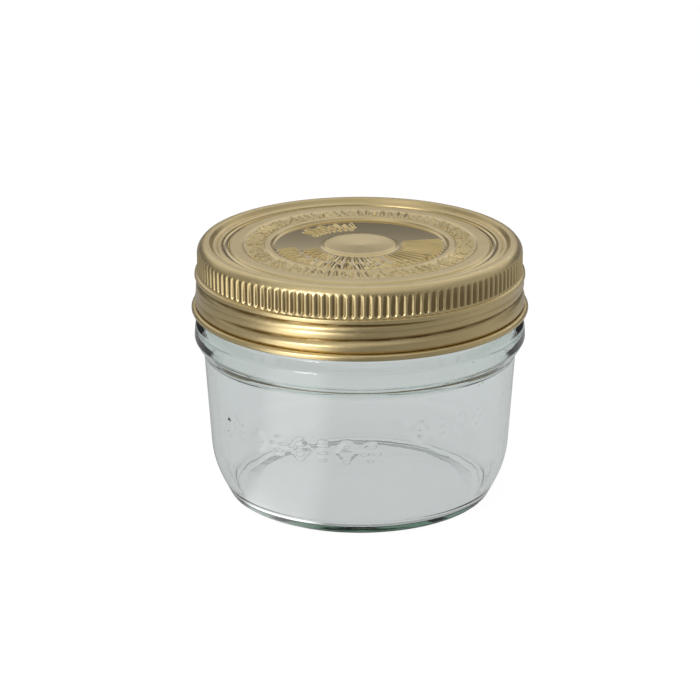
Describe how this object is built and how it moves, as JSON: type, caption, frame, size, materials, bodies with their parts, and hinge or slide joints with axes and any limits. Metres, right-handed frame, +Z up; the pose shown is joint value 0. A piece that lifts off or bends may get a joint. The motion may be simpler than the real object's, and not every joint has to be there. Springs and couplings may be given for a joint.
{
  "type": "mason jar",
  "caption": "Wide, low glass preserving jar with a stout collar and a screw lid of gold-lacquered tinplate, holding a loose vacuum capsule with bonded compound.",
  "frame": {"origin": "centre of the jar's resting ring, on the surface it stands on", "axes": "+Z up along the jar's axis; -Y is the front, where the lid's thread begins 75 degrees to the left"},
  "size_m": [0.11, 0.11, 0.0855],
  "materials": {
    "jar_glass": "clear pressed soda-lime glass with a faint green tint",
    "capsule_tinplate": "gold-lacquered thin tinplate",
    "sealing_compound": "pale flowed-in sealing compound, matt",
    "lid_tinplate": "satin gold-lacquered tinplate, pressed and rolled"
  },
  "bodies": {
    "jar": {"glass_jar": "jar_glass"},
    "capsule": {"capsule": "capsule_tinplate", "sealing_ring": "sealing_compound"},
    "lid": {"screw_lid": "lid_tinplate"}
  },
  "joints": [
    {"name": "lid_lift", "type": "slide", "parent": "jar", "child": "capsule", "axis": [0, 0, 1], "range_m": [0, 0.02286]},
    {"name": "lid_turn", "type": "hinge", "parent": "capsule", "child": "lid", "pos_m": [0, 0, 0.0834], "axis": [0, 0, 1], "range_deg": [0, 1620]}
  ],
  "couplings": [
    {"joint": "lid_lift", "follows": "lid_turn", "m_per_rad": 0.00080851}
  ]
}
